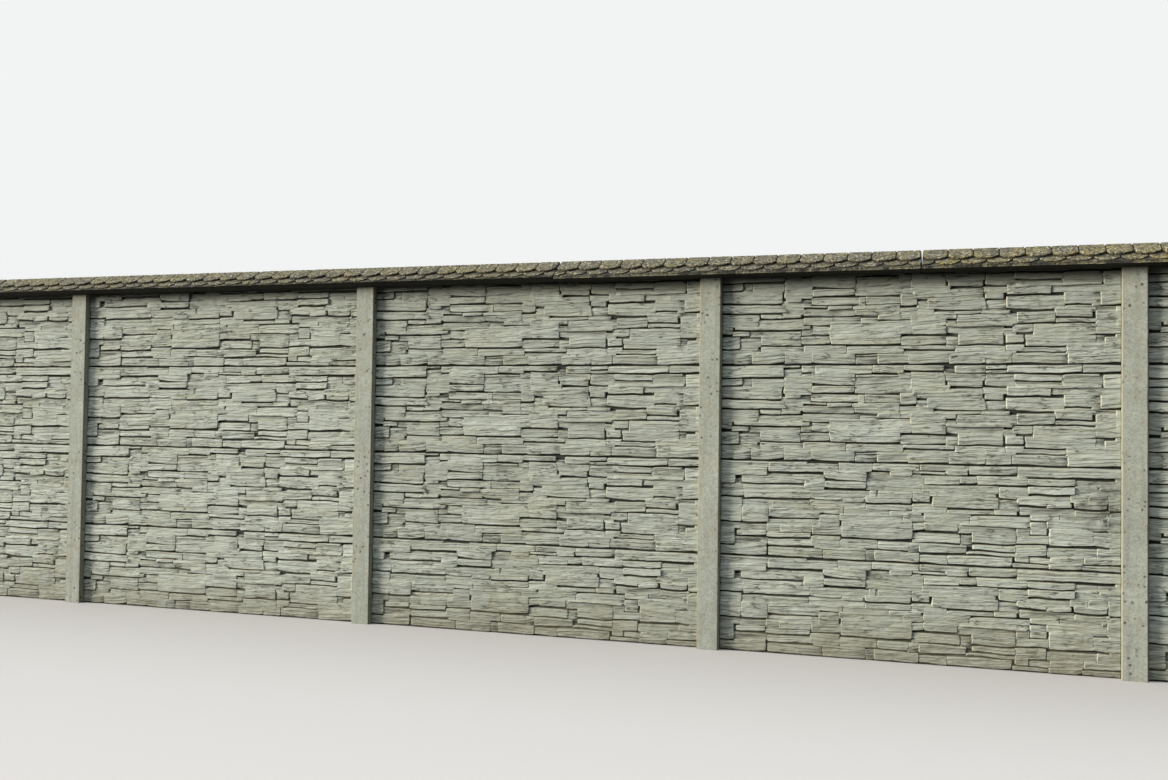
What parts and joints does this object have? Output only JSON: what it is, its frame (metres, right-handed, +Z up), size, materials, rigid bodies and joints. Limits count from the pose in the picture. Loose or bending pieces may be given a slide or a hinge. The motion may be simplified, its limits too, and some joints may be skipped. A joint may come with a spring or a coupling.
{
  "type": "precast concrete panel fence",
  "caption": "Concrete fence of grooved posts, stacked panels with a ledgestone relief on the front, and a gabled coping cast as overlapping round-ended shingles.",
  "frame": {"origin": "centre of the left-hand end post's foot, on the ground line", "axes": "+X along the fence from left to right as seen from the front, -Y out of the decorated front, +Z up"},
  "size_m": [10.421, 0.272, 2.083],
  "materials": {
    "post_concrete": "matt cast concrete",
    "panel_concrete": "matt cast concrete",
    "coping_concrete": "rough weathered concrete with lichen"
  },
  "bodies": {
    "root": {"post_1": "post_concrete", "post_2": "post_concrete", "post_3": "post_concrete", "post_4": "post_concrete", "post_5": "post_concrete", "post_6": "post_concrete", "panel_1_1": "panel_concrete", "panel_1_2": "panel_concrete", "panel_1_3": "panel_concrete", "panel_1_4": "panel_concrete", "panel_2_1": "panel_concrete", "panel_2_2": "panel_concrete", "panel_2_3": "panel_concrete", "panel_2_4": "panel_concrete", "panel_3_1": "panel_concrete", "panel_3_2": "panel_concrete", "panel_3_3": "panel_concrete", "panel_3_4": "panel_concrete", "panel_4_1": "panel_concrete", "panel_4_2": "panel_concrete", "panel_4_3": "panel_concrete", "panel_4_4": "panel_concrete", "panel_5_1": "panel_concrete", "panel_5_2": "panel_concrete", "panel_5_3": "panel_concrete", "panel_5_4": "panel_concrete", "coping_1": "coping_concrete", "coping_2": "coping_concrete", "coping_3": "coping_concrete", "coping_4": "coping_concrete", "coping_5": "coping_concrete", "coping_6": "coping_concrete"}
  },
  "joints": []
}
